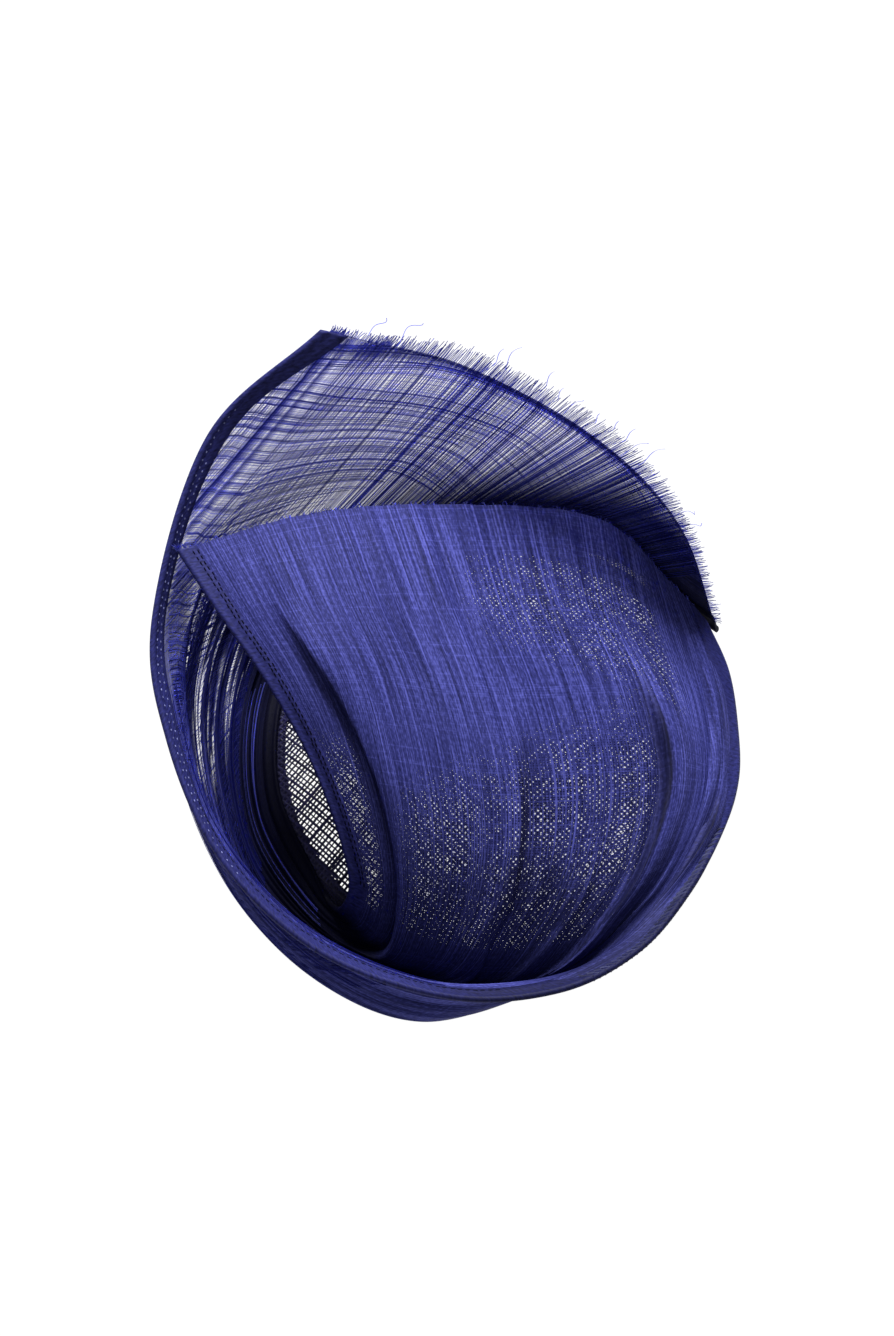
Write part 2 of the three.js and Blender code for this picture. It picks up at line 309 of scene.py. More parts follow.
# The fibres of the band's outer layer, which lie half a pitch off those of the base.
band_fibres = []
for turn, angle in enumerate(FIBRE_ANGLES):
    ahead = np.array([math.cos(angle), math.sin(angle), 0])
    aside = np.array([-math.sin(angle), math.cos(angle), 0])
    for i in range(-fibre_count - 3, fibre_count + 3):
        crossings = np.arange(-BAND_CROSSINGS, BAND_CROSSINGS + 1)
        flat = (crossings + 0.5)[:, None] * FIBRE_PITCH * ahead + (i + 0.5) * FIBRE_PITCH * aside
        radius = np.linalg.norm(flat, axis=1)
        kept = (radius > field_radius - 0.5 * FIBRE_PITCH) & (radius < foot_radius)
        for run in np.split(np.arange(len(kept)), np.flatnonzero(np.diff(kept)) + 1):
            if not kept[run[0]] or len(run) < 3:
                continue
            path = flat[run]
            path[:, 2] = dome_height(radius[run]) + BAND_STEP
            up = np.stack([path[:, 0], path[:, 1], path[:, 2] + dome_radius - BASE_RISE], axis=1)
            up /= np.linalg.norm(up, axis=1, keepdims=True)
            over = np.where((crossings[run] + i + turn) % 2, 1.6 * FIBRE_WAVE, 0.4 * FIBRE_WAVE)
            width = FIBRE_WIDTH * rng.uniform(0.6, 1.2)
            path = base_centre + path + over[:, None] * up
            band_fibres.append((path, up, width, FIBRE_DEPTH, rng.uniform(0, 1)))
band_weave = new_object("band_weave", thread_mesh("band_weave", band_fibres), straw)
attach(band_weave, "root")
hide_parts("sinamay_base")

rim_band = new_object("rim_band", mesh, pressed_straw)
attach(rim_band, "root")
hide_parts("sinamay_base")


# Silk strip. One length of silk abaca, cut straight and fine enough to see through, sewn round the base:
# it lies over the top, is gathered into a trough round the front and left, and fans out as a sail behind.
STRIP_WIDTH = 180 * MM
STRIP_LENGTH = 560 * MM
STRIP_COLUMNS = 236
STRIP_ROWS = 416
# Places of the strip at each station along it, in millimetres from the middle of the base. Six points
# run across it: inner hem, lap, middle, shoulder, neck and outer hem.
STATIONS = np.array([
    [(-122, 56, 67), (-76, 71, 66), (-27, 80, 56), (36, 86, 30), (66, 63, 19), (80, 49, 13)],
    [(-106, 31, 65), (-63, 36, 68), (-15, 40, 58), (42, 49, 30), (75, 37, 15), (88, 31, 7)],
    [(-89, 7, 60), (-49, 5, 64), (-2, 3, 57), (55, 15, 28), (81, 11, 13), (91, 10, 4)],
    [(-74, -17, 51), (-40, -27, 56), (6, -31, 51), (61, -19, 26), (82, -15, 15), (91, -13, 8)],
    [(-63, -41, 40), (-35, -52, 43), (6, -60, 41), (55, -49, 25), (75, -40, 19), (85, -36, 14)],
    [(-57, -61, 25), (-35, -72, 26), (-2, -80, 25), (41, -73, 20), (59, -68, 20), (72, -64, 23)],
    [(-62, -66, 10), (-44, -84, 8), (-19, -94, 7), (17, -98, 11), (36, -91, 22), (52, -91, 31)],
    [(-70, -50, 6), (-70, -70, 3), (-56, -90, 5), (-28, -113, 17), (2, -104, 31), (22, -110, 39)],
    [(-84, -15, 5.8), (-94, -34, 3), (-90, -65, 7), (-71, -95, 20), (-36, -102, 35), (-19, -114, 43)],
    [(-81.6, 25.6, 5.2), (-98, 14, 4), (-109, -15, 11), (-104, -57, 25), (-78, -80, 39), (-67, -98, 47)],
    [(-63.7, 57, 5.2), (-83, 55, 6), (-106, 38, 16), (-122, -4, 32), (-108, -42, 43), (-104, -63, 51)],
    [(-32.4, 79, 5.2), (-51, 88, 9), (-78, 83, 23), (-113, 51, 41), (-120, 4, 48), (-125, -16, 55)],
    [(3, 85.5, 5.2), (-8, 102, 15), (-35, 111, 34), (-83, 97, 53), (-119, 49, 56), (-131, 31, 61)],
    [(46, 78, 4), (43, 97, 29), (17, 115, 52), (-37, 126, 69), (-95, 105, 75), (-111, 99, 77)],
    [(84, 49, 4), (68, 74, 51), (36, 102, 69), (-12, 124, 85), (-51, 132, 92), (-68, 135, 95)],
]) * MM
RAIL_AT = [0, 0.25, 0.5, 0.75, 0.92, 1]
LAST_STATION = len(STATIONS) - 1
station_knots = np.concatenate([
    2 * STATIONS[:1] - STATIONS[1:2], STATIONS, 2 * STATIONS[-1:] - STATIONS[-2:-1],
])


def between_knots(before, start, end, after, share):
    """A smooth line from start to end, that heads as its neighbours before and after do."""
    leave = (end - before) / 2
    arrive = (after - start) / 2
    bend = 2 * (start - end) + leave + arrive
    swing = 3 * (end - start) - 2 * leave - arrive
    return ((bend * share + swing) * share + leave) * share + start


def plain_cloth(across, along):
    """Points of the strip without its folds: across it from 0 to 1, and along it by station."""
    span = np.clip(np.floor(along).astype(int), 0, LAST_STATION - 1)
    share = (along - span)[:, None, None]
    rails = between_knots(*(station_knots[span + i] for i in range(4)), share)
    knots = np.concatenate([
        2 * rails[:, :1] - rails[:, 1:2], rails, 2 * rails[:, -1:] - rails[:, -2:-1],
    ], axis=1)
    place = np.interp(across, RAIL_AT, np.arange(len(RAIL_AT)))
    span = np.clip(np.floor(place).astype(int), 0, len(RAIL_AT) - 2)
    rows = np.arange(len(place))
    points = between_knots(*(knots[rows, span + i] for i in range(4)), (place - span)[:, None])
    return base_centre + points


def cloth_slopes(across, along):
    """How fast the plain cloth runs across and along at a point, and the way that its face looks."""
    step = 0.01
    right, left = np.minimum(across + step, 1), np.maximum(across - step, 0)
    after, before = np.minimum(along + 0.14, LAST_STATION), np.maximum(along - 0.14, 0)
    run_across = (plain_cloth(right, along) - plain_cloth(left, along)) / (right - left)[:, None]
    run_along = (plain_cloth(across, after) - plain_cloth(across, before)) / (after - before)[:, None]
    out = np.cross(run_along, run_across)
    out /= np.linalg.norm(out, axis=1, keepdims=True)
    return run_across, run_along, out


def ease(value, start, end):
    """0 before start, 1 after end, and a smooth rise between them."""
    share = np.clip((value - start) / (end - start), 0, 1)
    return share * share * (3 - 2 * share)


# The folds: stations along the strip, the place across it at each, widths of the near and the far side,
# height in millimetres (a furrow where negative), and how deep a painted shade lies along the steep side.
FOLDS = [
    ((0.8, 1.9, 2.4, 3.2, 4.0, 4.9, 5.9, 7.0), (0.13, 0.15, 0.17, 0.20, 0.21, 0.22, 0.24, 0.26),
     0.010, 0.12, 5.0, 0.62),
    ((1.4, 2.4, 3.2, 4.0, 4.9, 5.9, 7.0), (0.14, 0.16, 0.18, 0.19, 0.20, 0.22, 0.24), 0.03, 0.02, -2.5, 0.0),
    ((2.0, 2.8, 3.8, 4.5, 5.2, 6.2, 7.0), (0.52, 0.51, 0.50, 0.50, 0.50, 0.55, 0.6), 0.07, 0.008, 3.2, 0.6),
    ((3.8, 4.5, 5.1, 5.6, 6.2, 7.0), (0.61, 0.62, 0.64, 0.62, 0.60, 0.6), 0.010, 0.06, 2.6, 0.7),
    ((2.4, 3.3, 4.5, 5.2, 5.9, 7.0), (0.70, 0.71, 0.73, 0.75, 0.72, 0.7), 0.008, 0.03, 1.6, 0.5),
    ((1.4, 2.8, 3.6, 4.2, 4.9, 5.6, 6.2, 7.0), (0.75, 0.76, 0.755, 0.75, 0.745, 0.71, 0.67, 0.65),
     0.008, 0.07, 4.6, 0.9),
    ((4.0, 4.8, 5.4, 6.0, 7.0), (0.85, 0.84, 0.81, 0.77, 0.74), 0.008, 0.05, 2.0, 0.7),
    ((0.6, 2.2, 3.4, 4.4), (0.93, 0.915, 0.89, 0.90), 0.006, 0.04, 2.0, 0.12),
    ((2.8, 3.9, 5.0, 6.0, 7.2), (0.93, 0.94, 0.93, 0.95, 0.96), 0.006, 0.03, 2.6, 0.9),
    ((0.2, 1.0, 2.0, 3.0), (0.33, 0.36, 0.38, 0.40), 0.02, 0.03, -1.2, 0.25),
    ((0.1, 0.8, 1.6, 2.6), (0.62, 0.64, 0.66, 0.68), 0.01, 0.03, 1.2, 0.35),
]
# Waves across the cloth: how many, height in millimetres, and phase.
GATHERS = [(9, 1.6, 0.0), (17, 0.7, 1.3), (29, 0.45, 2.1)]
RIPPLES = [(13, 0.3, 0.9), (23, 0.15, 2.6), (41, 0.08, 4.0)]
FOLD_EASE = 1.2


def fold_places(across, along):
    """For each fold: how far off it a point lies across the strip, and how strong the fold is there."""
    for stations, places_across, *shape in FOLDS:
        window = ease(along, stations[0], stations[0] + FOLD_EASE)
        window = window * (1 - ease(along, stations[-1] - FOLD_EASE, stations[-1]))
        yield across - np.interp(along, stations, places_across), window, *shape


def fold_height(across, along):
    """How far folds, ripples and gathers push the cloth out of its plain face."""
    height = np.zeros_like(across)
    for offset, window, near, far, rise, _ in fold_places(across, along):
        width = np.where(offset < 0, near, far)
        height += rise * window * np.exp(-((offset / width) ** 2))
    inside = np.sin(math.pi * across)
    for count, depth, phase in RIPPLES:
        drift = 0.35 * np.sin(0.9 * along + phase)
        wave = np.sin(2 * math.pi * count * across + phase + drift)
        height += depth * inside * (1 - ease(along, 5, 7)) * wave
    window = ease(along, 6, 7.5) * (1 - ease(along, 10.2, 11.4))
    for count, depth, phase in GATHERS:
        height += depth * window * inside * np.sin(2 * math.pi * count * across + phase)
    return height * MM


def cloth_point(across, along):
    """Points of the strip with its folds, and the way that its face looks."""
    out = cloth_slopes(across, along)[2]
    return plain_cloth(across, along) + out * fold_height(across, along)[:, None], out


# Share of the strip's length at each of many places, as the mean of four lines along it, so that weft
# threads are evenly spaced.
LENGTH_PLACES = 561
places = np.linspace(0, LAST_STATION, LENGTH_PLACES)
runs = np.mean([
    np.linalg.norm(np.diff(plain_cloth(np.full_like(places, at), places), axis=0), axis=1)
    for at in (0.15, 0.4, 0.6, 0.85)
], axis=0)
lengths = np.concatenate([[0], np.cumsum(runs)])
lengths /= lengths[-1]

bm = bmesh.new()
bmesh.ops.create_grid(bm, x_segments=STRIP_COLUMNS, y_segments=STRIP_ROWS, size=0.5, calc_uvs=True)
mesh = bpy.data.meshes.new("silk_strip")
bm.to_mesh(mesh)
bm.free()
flat = np.empty(3 * len(mesh.vertices))
mesh.vertices.foreach_get("co", flat)
flat = flat.reshape(-1, 3) + 0.5
across = np.clip(flat[:, 0], 0, 1)
along = np.clip(flat[:, 1], 0, 1) * LAST_STATION
points, out = cloth_point(across, along)
mesh.vertices.foreach_set("co", points.ravel())

# Runs in the left wall, where its threads have parted: how many, and their half widths across it.
OPEN_RUNS = 34
OPEN_HALF = (0.004, 0.009)

# How much of the cloth its threads cover. The sail is a thin film between its drawn threads, dense where it
# is pulled together, the left wall has run gaps, and the drape is thin where it lies near the base.
sail = ease(along, 10.5, 10.9)
wall = ease(along, 8.0, 8.6) * (1 - sail)
thin_top = 0.75 * ease(across, 0.48, 0.62) * (1 - ease(across, 0.78, 0.85)) * ease(along, 0.3, 0.9)
thin_top = thin_top * (1 - ease(along - 2.6 * (across - 0.55), 1.0, 1.7))
thin_edge = np.interp(across, (0.24, 0.5, 0.75), (3.1, 2.4, 1.8))
thin_front = ease(across, 0.22, 0.32) * (1 - ease(across, 0.70, 0.76))
thin_front = thin_front * ease(along, thin_edge, thin_edge + 0.9)
thin_front = thin_front * (1 - 0.65 * ease(along, 4.2, 4.8)) * (1 - ease(along, 5.0, 5.5))
thin_strip = ease(across, 0.05, 0.07) * (1 - ease(across, 0.12, 0.16))
thin_strip = thin_strip * ease(along, 2.6, 3.4) * (1 - ease(along, 4.9, 5.4))
patches = 0.5 + 0.22 * (
    np.sin(41 * across + 3.1 * along)
    + np.sin(23 * across - 5.3 * along + 1)
    + np.sin(67 * across + 1.2 * along + 2)
)
thin = np.maximum(np.maximum(thin_top, thin_front), thin_strip) * (0.55 + 0.45 * ease(patches, 0.05, 0.75))
cover = 1 - 0.22 * thin
open_wall = np.zeros_like(across)
rng = np.random.default_rng(17)
for at in np.linspace(0.3, 0.9, OPEN_RUNS):
    half = rng.uniform(*OPEN_HALF)
    start = 8.1 + 2.2 * (at - 0.3) + rng.uniform(-0.1, 1.0)
    end = start + rng.uniform(1.0, 2.2)
    drift = 0.010 * np.sin(3 * along + 40 * at) + rng.normal(0, 0.006)
    window = ease(along, start, start + 0.5) * (1 - ease(along, end - 0.5, end))
    open_wall = np.maximum(open_wall, window * (1 - ease(np.abs(across - at - drift), 0.5 * half, half)))
clear = (0.42 + 0.27 * ease(along, 11.5, 12.5) + 0.15 * ease(along, 12.8, 13.4)) * ease(across, 0.18, 0.46)
clear = clear * (1 - 0.85 * ease(across, 0.84, 0.92) * (1 - ease(along, 11.8, 12.6)))
film = 1 - clear * sail - 0.8 * wall * open_wall
film += np.maximum(0.75 - film, 0) * ease(along, 13.74, 13.84)

# Painted shade: where folds turn under, down in the trough, at the foot of the left wall, lower on the
# front of the drape and in the crevice under the sail, the cloth's colour is darkened towards SILK_SHADE.
trough = ease(along, 5.2, 6.2) * (1 - ease(along, 7.5, 9)) * (1 - ease(across, 0.55, 0.8))
foot = ease(along, 6.5, 7.5) * (1 - ease(along, 11, 12.5)) * (1 - ease(across, 0.2, 0.45))
front = ease(along, 3.6, 6.0) * (1 - ease(along, 6.4, 7.2))
crevice = ease(along, 12.4, 13.2) * (1 - ease(across, 0.05, 0.2))
painted_shade = np.maximum(np.maximum(0.95 * trough, 0.9 * foot), np.maximum(0.6 * front, 0.8 * crevice))
for offset, window, near, far, rise, depth in fold_places(across, along):
    downhill = -offset if near < far else offset
    fall = np.where(downhill > 0, np.exp(-downhill / 0.033), np.exp(-((downhill / 0.004) ** 2)))
    painted_shade = np.maximum(painted_shade, depth * window * fall)
gap = np.maximum(1 - cover, 0) ** 0.5 * (1 - ease(painted_shade, 0.4, 0.75))
# Painted glow: where the sail's cloth is thin it is painted a clearer blue, as if lit from behind.
glow = sail * ease(across, 0.18, 0.46) * (1 - ease(across, 0.8, 0.9) * (1 - ease(along, 12.0, 12.8)))
for name, values in (
    ("gap", gap), ("film", film), ("drawn", np.maximum(sail, wall)), ("painted_shade", painted_shade), ("glow", glow),
):
    mesh.attributes.new(name, "FLOAT", "POINT").data.foreach_set("value", values)

loop_vertices = np.empty(len(mesh.loops), dtype=int)
mesh.loops.foreach_get("vertex_index", loop_vertices)
for layer in list(mesh.uv_layers):
    mesh.uv_layers.remove(layer)
length_share = np.interp(along, places, lengths)
sheet_places = np.stack([across, length_share], axis=1)[loop_vertices]
thread_places = sheet_places * (STRIP_WIDTH, STRIP_LENGTH)
mesh.uv_layers.new(name="sheet").uv.foreach_set("vector", sheet_places.ravel())
mesh.uv_layers.new(name="threads").uv.foreach_set("vector", thread_places.ravel())
mesh.polygons.foreach_set("use_smooth", np.ones(len(mesh.polygons), dtype=bool))
mesh.update()

# Silk abaca: glossy, slubbed warp and a finer weft, dyed cobalt blue, with holes between its threads.
# The real threads lie 0.76 mm apart. They are drawn about 1 mm apart, as coarse as they need to show.
WARP_PITCH = 1.0 * MM
WEFT_PITCH = 0.95 * MM
SILK_DEEP = "#191b45"
SILK_MID = "#303371"
SILK_PALE = "#575bb0"
# The colour that the painted shade darkens the cloth towards.
SILK_SHADE = "#07071a"
SILK_PAINTED_GLOW = "#5058e8"


def stretched_noise(tree, uv, width, length, detail, turn=0.0):
    """Noise on the flat cloth, in patches of some width and length."""
    place = add_node(tree, "ShaderNodeMapping", {
        "Vector": uv.outputs[0], "Scale": (1 / width, 1 / length, 1), "Rotation": (0, 0, turn),
    })
    noise = add_node(tree, "ShaderNodeTexNoise", {"Vector": place.outputs[0], "Scale": 1.0, "Detail": detail})
    return noise.outputs["Fac"]


def remap(tree, value, low, high, to_low, to_high):
    """A value taken from one range to another, and held inside it."""
    return add_node(tree, "ShaderNodeMapRange", {
        "Value": value, "From Min": low, "From Max": high, "To Min": to_low, "To Max": to_high,
    }).outputs[0]


silk, tree = new_material("silk_abaca")
uv = add_node(tree, "ShaderNodeUVMap", uv_map="threads")
axes = add_node(tree, "ShaderNodeSeparateXYZ", {0: uv.outputs[0]})
wander = stretched_noise(tree, uv, 6 * MM, 55 * MM, 1.0)
gap_share = attribute(tree, "gap")
masks, offsets, slubs = [], [], []
for axis, pitch, drift, bundle_width, bundle_length, bundle_share in (
    ("X", WARP_PITCH, 0.7, 4 * MM, 140 * MM, 0.5),
    ("Y", WEFT_PITCH, 0.5, 25 * MM, 4 * MM, 0.3),
):
    even = calculate(tree, "MULTIPLY", axes.outputs[axis], 1 / pitch)
    place = calculate(tree, "MULTIPLY_ADD", wander, drift, even)
    thread = calculate(tree, "ROUND", place)
    offset = calculate(tree, "ABSOLUTE", calculate(tree, "SUBTRACT", place, thread))
    slub = add_node(tree, "ShaderNodeTexWhiteNoise", {"W": thread}, noise_dimensions="1D").outputs["Value"]
    thinness = remap(tree, slub, 0.0, 1.0, 1.7, 0.3)
    bundle = stretched_noise(tree, uv, bundle_width, bundle_length, 2.0)
    parted = remap(tree, bundle, 0.3, 0.7, 1 - bundle_share, 1 + bundle_share)
    opened = calculate(tree, "MULTIPLY", calculate(tree, "MULTIPLY", gap_share, thinness), parted)
    half = calculate(tree, "MULTIPLY_ADD", opened, -0.5, 0.5)
    masks.append(calculate(tree, "LESS_THAN", offset, half))
    offsets.append(offset)
    slubs.append(slub)
# The holes keep some of the cloth's cover, which tints the light that comes through them.
HOLE_COVER = 0.25
woven = calculate(tree, "MAXIMUM", calculate(tree, "MAXIMUM", *masks), HOLE_COVER)
alpha = add_node(tree, "ShaderNodeMix", {
    0: attribute(tree, "drawn"), 2: woven, 3: attribute(tree, "film"),
})

# Each thread has its own depth of dye, streaked along its length. A painted highlight runs down the crown
# of some threads, so that they look darker where they turn under.
streak = stretched_noise(tree, uv, 0.6 * MM, 45 * MM, 3.0)
grain = stretched_noise(tree, uv, 0.55 * MM, 1.8 * MM, 1.0)
tone = remap(tree, streak, 0.3, 0.7, 0.26, 0.76)
tone = calculate(tree, "ADD", tone, remap(tree, grain, 0.3, 0.7, -0.14, 0.14))
for offset, slub, strength, segment_width, segment_length in (
    (offsets[0], slubs[0], 0.34, 1.1 * MM, 38 * MM),
    (offsets[1], slubs[1], 0.16, 9 * MM, 1.0 * MM),
):
    line = remap(tree, offset, 0.1, 0.4, 1.0, 0.0)
    chosen = remap(tree, slub, 0.3, 1.0, 0.0, 1.0)
    segment = stretched_noise(tree, uv, segment_width, segment_length, 1.0)
    shown = remap(tree, segment, 0.35, 0.6, 0.0, 1.0)
    lit = calculate(tree, "MULTIPLY", calculate(tree, "MULTIPLY", line, chosen), shown)
    tone = calculate(tree, "MULTIPLY_ADD", lit, strength, tone)
colour = add_node(tree, "ShaderNodeValToRGB", {"Fac": tone})
ramp = colour.color_ramp
ramp.elements[0].position = 0.2
ramp.elements[0].color = linear(SILK_DEEP)
ramp.elements[1].position = 0.9
ramp.elements[1].color = linear(SILK_PALE)
ramp.elements.new(0.53).color = linear(SILK_MID)
# Painted shade: the colour is darkened towards SILK_SHADE where the strip's painted shade lies.
colour = blend(tree, attribute(tree, "painted_shade"), colour.outputs["Color"], linear(SILK_SHADE))
# Painted backlight: the thin cloth of the sail is painted a lighter, clearer blue, in place of the light
# that comes through it from behind.
GLOW_SHARE = 0.7
glow_share = calculate(tree, "MULTIPLY", attribute(tree, "glow"), GLOW_SHARE)
colour = blend(tree, glow_share, colour, linear(SILK_PAINTED_GLOW))
bump = add_node(tree, "ShaderNodeBump", {"Height": streak, "Strength": 0.3, "Distance": 0.4 * MM})
set_surface(tree, {
    "Base Color": colour,
    "Roughness": 0.6,
    "IOR": 1.45,
    "Specular IOR Level": 0.08,
    "Alpha": alpha.outputs[0],
    "Normal": bump.outputs["Normal"],
})

silk_strip = new_object("silk_strip", mesh, silk)
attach(silk_strip, "root")
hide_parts("silk_swirl")


# Wired hems. Each long edge of the strip is turned over a fine wire and stitched down, so it is three
# layers thick, darker than the cloth, and holds the curve that it is bent to.
HEM_WIDTHS = (8 * MM, 12 * MM)
HEM_ROLL = 2.4 * MM
HEM_ROWS = 700
# Half the thickness of a hem, as shares of its roll, at shares of its width in from the edge.
HEM_SECTION = [
    (0.0, 0.0), (0.03, 0.32), (0.12, 0.5), (0.22, 0.5), (0.34, 0.3), (0.4, 0.26), (0.7, 0.27), (0.97, 0.25),
    (1.0, 0.0),
]


def hem_band(name, edge):
    """A band swept along one long edge of the strip; its section is closed round the edge."""
    section = HEM_SECTION + [(at, -half) for at, half in HEM_SECTION[-2:0:-1]]
    count = len(section)
    bm = bmesh.new()
    bmesh.ops.create_grid(bm, x_segments=count, y_segments=HEM_ROWS, size=0.5)
    made = bpy.data.meshes.new(name)
    bm.to_mesh(made)
    bm.free()
    flat = np.empty(3 * len(made.vertices))
    made.vertices.foreach_get("co", flat)
    flat = np.clip(flat.reshape(-1, 3) + 0.5, 0, 1)
    corner = np.rint(flat[:, 0] * count).astype(int) % count
    along = flat[:, 1] * LAST_STATION
    inwards = 1 if edge == 0 else -1
    rate = np.linalg.norm(cloth_slopes(np.full_like(along, edge), along)[0], axis=1)
    at, half = np.array(section)[corner].T
    across = np.clip(edge + inwards * at * HEM_WIDTHS[edge] / rate, 0, 1)
    out = cloth_slopes(across, along)[2]
    points = plain_cloth(across, along) + out * (half * HEM_ROLL)[:, None]
    made.vertices.foreach_set("co", points.ravel())
    loops = np.empty(len(made.loops), dtype=int)
    made.loops.foreach_get("vertex_index", loops)
    run = np.interp(along, places, lengths) * STRIP_LENGTH
    coordinates = np.stack([at * HEM_WIDTHS[edge], run], axis=1)[loops]
    made.uv_layers.new(name="hem").uv.foreach_set("vector", coordinates.ravel())
    # Painted shade: the inner hem from the trough onwards, and the outer hem where it turns up into the lip.
    if edge == 0:
        sunk = 0.95 * ease(along, 5.2, 6.2)
    else:
        sunk = 0.6 * ease(along, 4, 5) * (1 - ease(along, 7.5, 8.5))
    made.attributes.new("painted_shade", "FLOAT", "POINT").data.foreach_set("value", sunk)
    bm = bmesh.new()
    bm.from_mesh(made)
    bmesh.ops.remove_doubles(bm, verts=bm.verts, dist=1e-7)
    bmesh.ops.holes_fill(bm, edges=bm.edges)
    bmesh.ops.recalc_face_normals(bm, faces=bm.faces)
    for face in bm.faces:
        face.smooth = True
    bm.to_mesh(made)
    bm.free()
    return made


# The same silk, three layers thick: closed, darker, and lightly ribbed by the threads under it. Painted
# shade darkens it down in the trough and round the lip.
hem_silk, tree = new_material("folded_silk_hem")
uv = add_node(tree, "ShaderNodeUVMap", uv_map="hem")
ribs = stretched_noise(tree, uv, 2.2 * MM, 1.1 * MM, 3.0, math.radians(20))
colour = add_node(tree, "ShaderNodeValToRGB", {"Fac": ribs})
colour.color_ramp.elements[0].position = 0.25
colour.color_ramp.elements[0].color = linear("#12143a")
colour.color_ramp.elements[1].position = 0.8
colour.color_ramp.elements[1].color = linear("#34377f")
colour = blend(tree, attribute(tree, "painted_shade"), colour.outputs["Color"], linear(SILK_SHADE))
bump = add_node(tree, "ShaderNodeBump", {"Height": ribs, "Strength": 0.5, "Distance": 0.3 * MM})
set_surface(tree, {
    "Base Color": colour,
    "Roughness": 0.6,
    "IOR": 1.45,
    "Specular IOR Level": 0.15,
    "Normal": bump.outputs["Normal"],
})

for name, node_name, edge in (("inner_hem", "wired_hem_inner", 0), ("outer_hem", "wired_hem_outer", 1)):
    hem = new_object(name, hem_band(name, edge), hem_silk)
    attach(hem, "root")
    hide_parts(node_name)


# Stitches. The hems are sewn down by hand: two pale rows up the outer hem, close bars where it rounds the
# front, and a dark double row along the inner hem beside the drape. Sewing thread, drawn tight.
STITCH_ROWS = [
    # edge, distance from it in millimetres, first and last station, spacing and length in millimetres, tone
    (1, 4.8, 9.8, 13.2, 3.3, 0.8, 0.5),
    (1, 8.4, 10.2, 12.8, 3.3, 0.8, 0.42),
    (1, 9.6, 7.4, 10.4, 3.0, 1.8, 0.0),
    (0, 5.4, 0.1, 5.0, 2.4, 1.6, 0.0),
    (0, 7.0, 0.1, 5.0, 2.4, 1.6, 0.0),
]
# The bars: near and far end from the edge in millimetres, first and last station, spacing in millimetres.
BAR_ROW = (1.0, 9.5, 4.0, 6.6, 2.6)
STITCH_WIDTH = 0.55 * MM
STITCH_DEPTH = 0.3 * MM


def hem_place(edge, distance, along, face):
    """Points on one face of a hem, some way in from its edge, and the way that the face looks."""
    rate = np.linalg.norm(cloth_slopes(np.full_like(along, edge), along)[0], axis=1)
    across = np.clip(edge + (1 - 2 * edge) * distance / rate, 0, 1)
    out = face * cloth_slopes(across, along)[2]
    shares, halves = np.array(HEM_SECTION).T
    half = np.interp(distance / HEM_WIDTHS[edge], shares, halves)
    return plain_cloth(across, along) + out * (half * HEM_ROLL + 0.05 * MM)[:, None], out


rng = np.random.default_rng(41)
stitches = []
edge_lengths = [
    np.concatenate([[0], np.cumsum(np.linalg.norm(
        np.diff(plain_cloth(np.full_like(places, edge), places), axis=0), axis=1,
    ))]) for edge in (0, 1)
]
for edge, distance, start, end, spacing, length, tone in STITCH_ROWS:
    first, final = np.interp([start, end], places, edge_lengths[edge])
    for middle in np.arange(first, final, spacing * MM):
        middle += rng.normal(0, 0.15) * MM
        run = middle + np.array([-0.5, -0.2, 0.2, 0.5]) * length * MM
        along = np.interp(run, edge_lengths[edge], places)
        inset = np.full_like(along, distance * MM) + rng.normal(0, 0.12) * MM
        for face in (-1, 1):
            points, out = hem_place(edge, inset, along, face)
            width = STITCH_WIDTH * np.array([0.5, 1, 1, 0.5])
            shade = np.clip(tone * rng.uniform(0.5, 1.3), 0, 1)
            stitches.append((points, out, width, STITCH_DEPTH, shade))
near, far, start, end, spacing = BAR_ROW
first, final = np.interp([start, end], places, edge_lengths[1])
for middle in np.arange(first, final, spacing * MM):
    inset = np.linspace(near, far, 5) * MM
    along = np.interp(middle + np.linspace(-0.4, 0.4, 5) * MM, edge_lengths[1], places)
    for face in (-1, 1):
        points, out = hem_place(1, inset, along, face)
        stitches.append((points, out, 2.2 * STITCH_WIDTH, 1.5 * STITCH_DEPTH, rng.uniform(0.05, 0.13)))

# Sewing thread: matt polyester, dark where it was matched to the cloth. The pale stitches are a painted
# highlight, where the thread catches light.
sewing_thread, tree = new_material("sewing_thread")
colour = blend(tree, attribute(tree, "shade"), linear("#08081e"), linear("#a9aff4"))
set_surface(tree, {
    "Base Color": colour, "Roughness": 0.7, "IOR": 1.5, "Specular IOR Level": 0.05,
})

stitching = new_object("hem_stitches", thread_mesh("hem_stitches", stitches), sewing_thread)
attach(stitching, "root")
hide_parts("wired_hem_outer")


# Sail threads. Where the cloth fans out its threads are pulled apart and can be told one by one: glossy warp
# that runs straight off to the frayed end, and a finer weft that leaves the wired hem level.
SAIL_WARPS = 470
SAIL_HEM_WARPS = 70
SAIL_WEFTS = 380
SAIL_WARP_WIDTH = 0.36 * MM
SAIL_WEFT_WIDTH = 0.3 * MM
SAIL_THREAD_DEPTH = 0.25 * MM
SAIL_FLOAT = 0.2 * MM
SAIL_FROM = 10.4
SAIL_STEP = 1.4 * MM
SAIL_STEPS = 180
SAIL_KEPT = 3
SAIL_UP = np.array([0, 0.927, 0.375])
# How steeply the warp runs up to the frayed end, in degrees, at places across the strip.
FAN_PLACES = (0, 0.22, 0.34, 0.49, 0.61, 0.78, 1)
FAN_ANGLES = (0, 12, 20, 30, 42, 48, 50)

rng = np.random.default_rng(31)


def uneven_places(count, bunching=0.0):
    """Places from 0 to 1 in threads' own uneven spacing, with a few wide gaps, and bunched by some share."""
    steps = rng.choice([0.75, 1.0, 1.25, 1.9], size=count, p=[0.3, 0.4, 0.22, 0.08])
    steps = steps * rng.uniform(0.85, 1.15, count)
    steps *= 1 + bunching * np.sin(np.cumsum(rng.uniform(0.2, 1.4, count)))
    return np.cumsum(steps) / np.sum(steps)


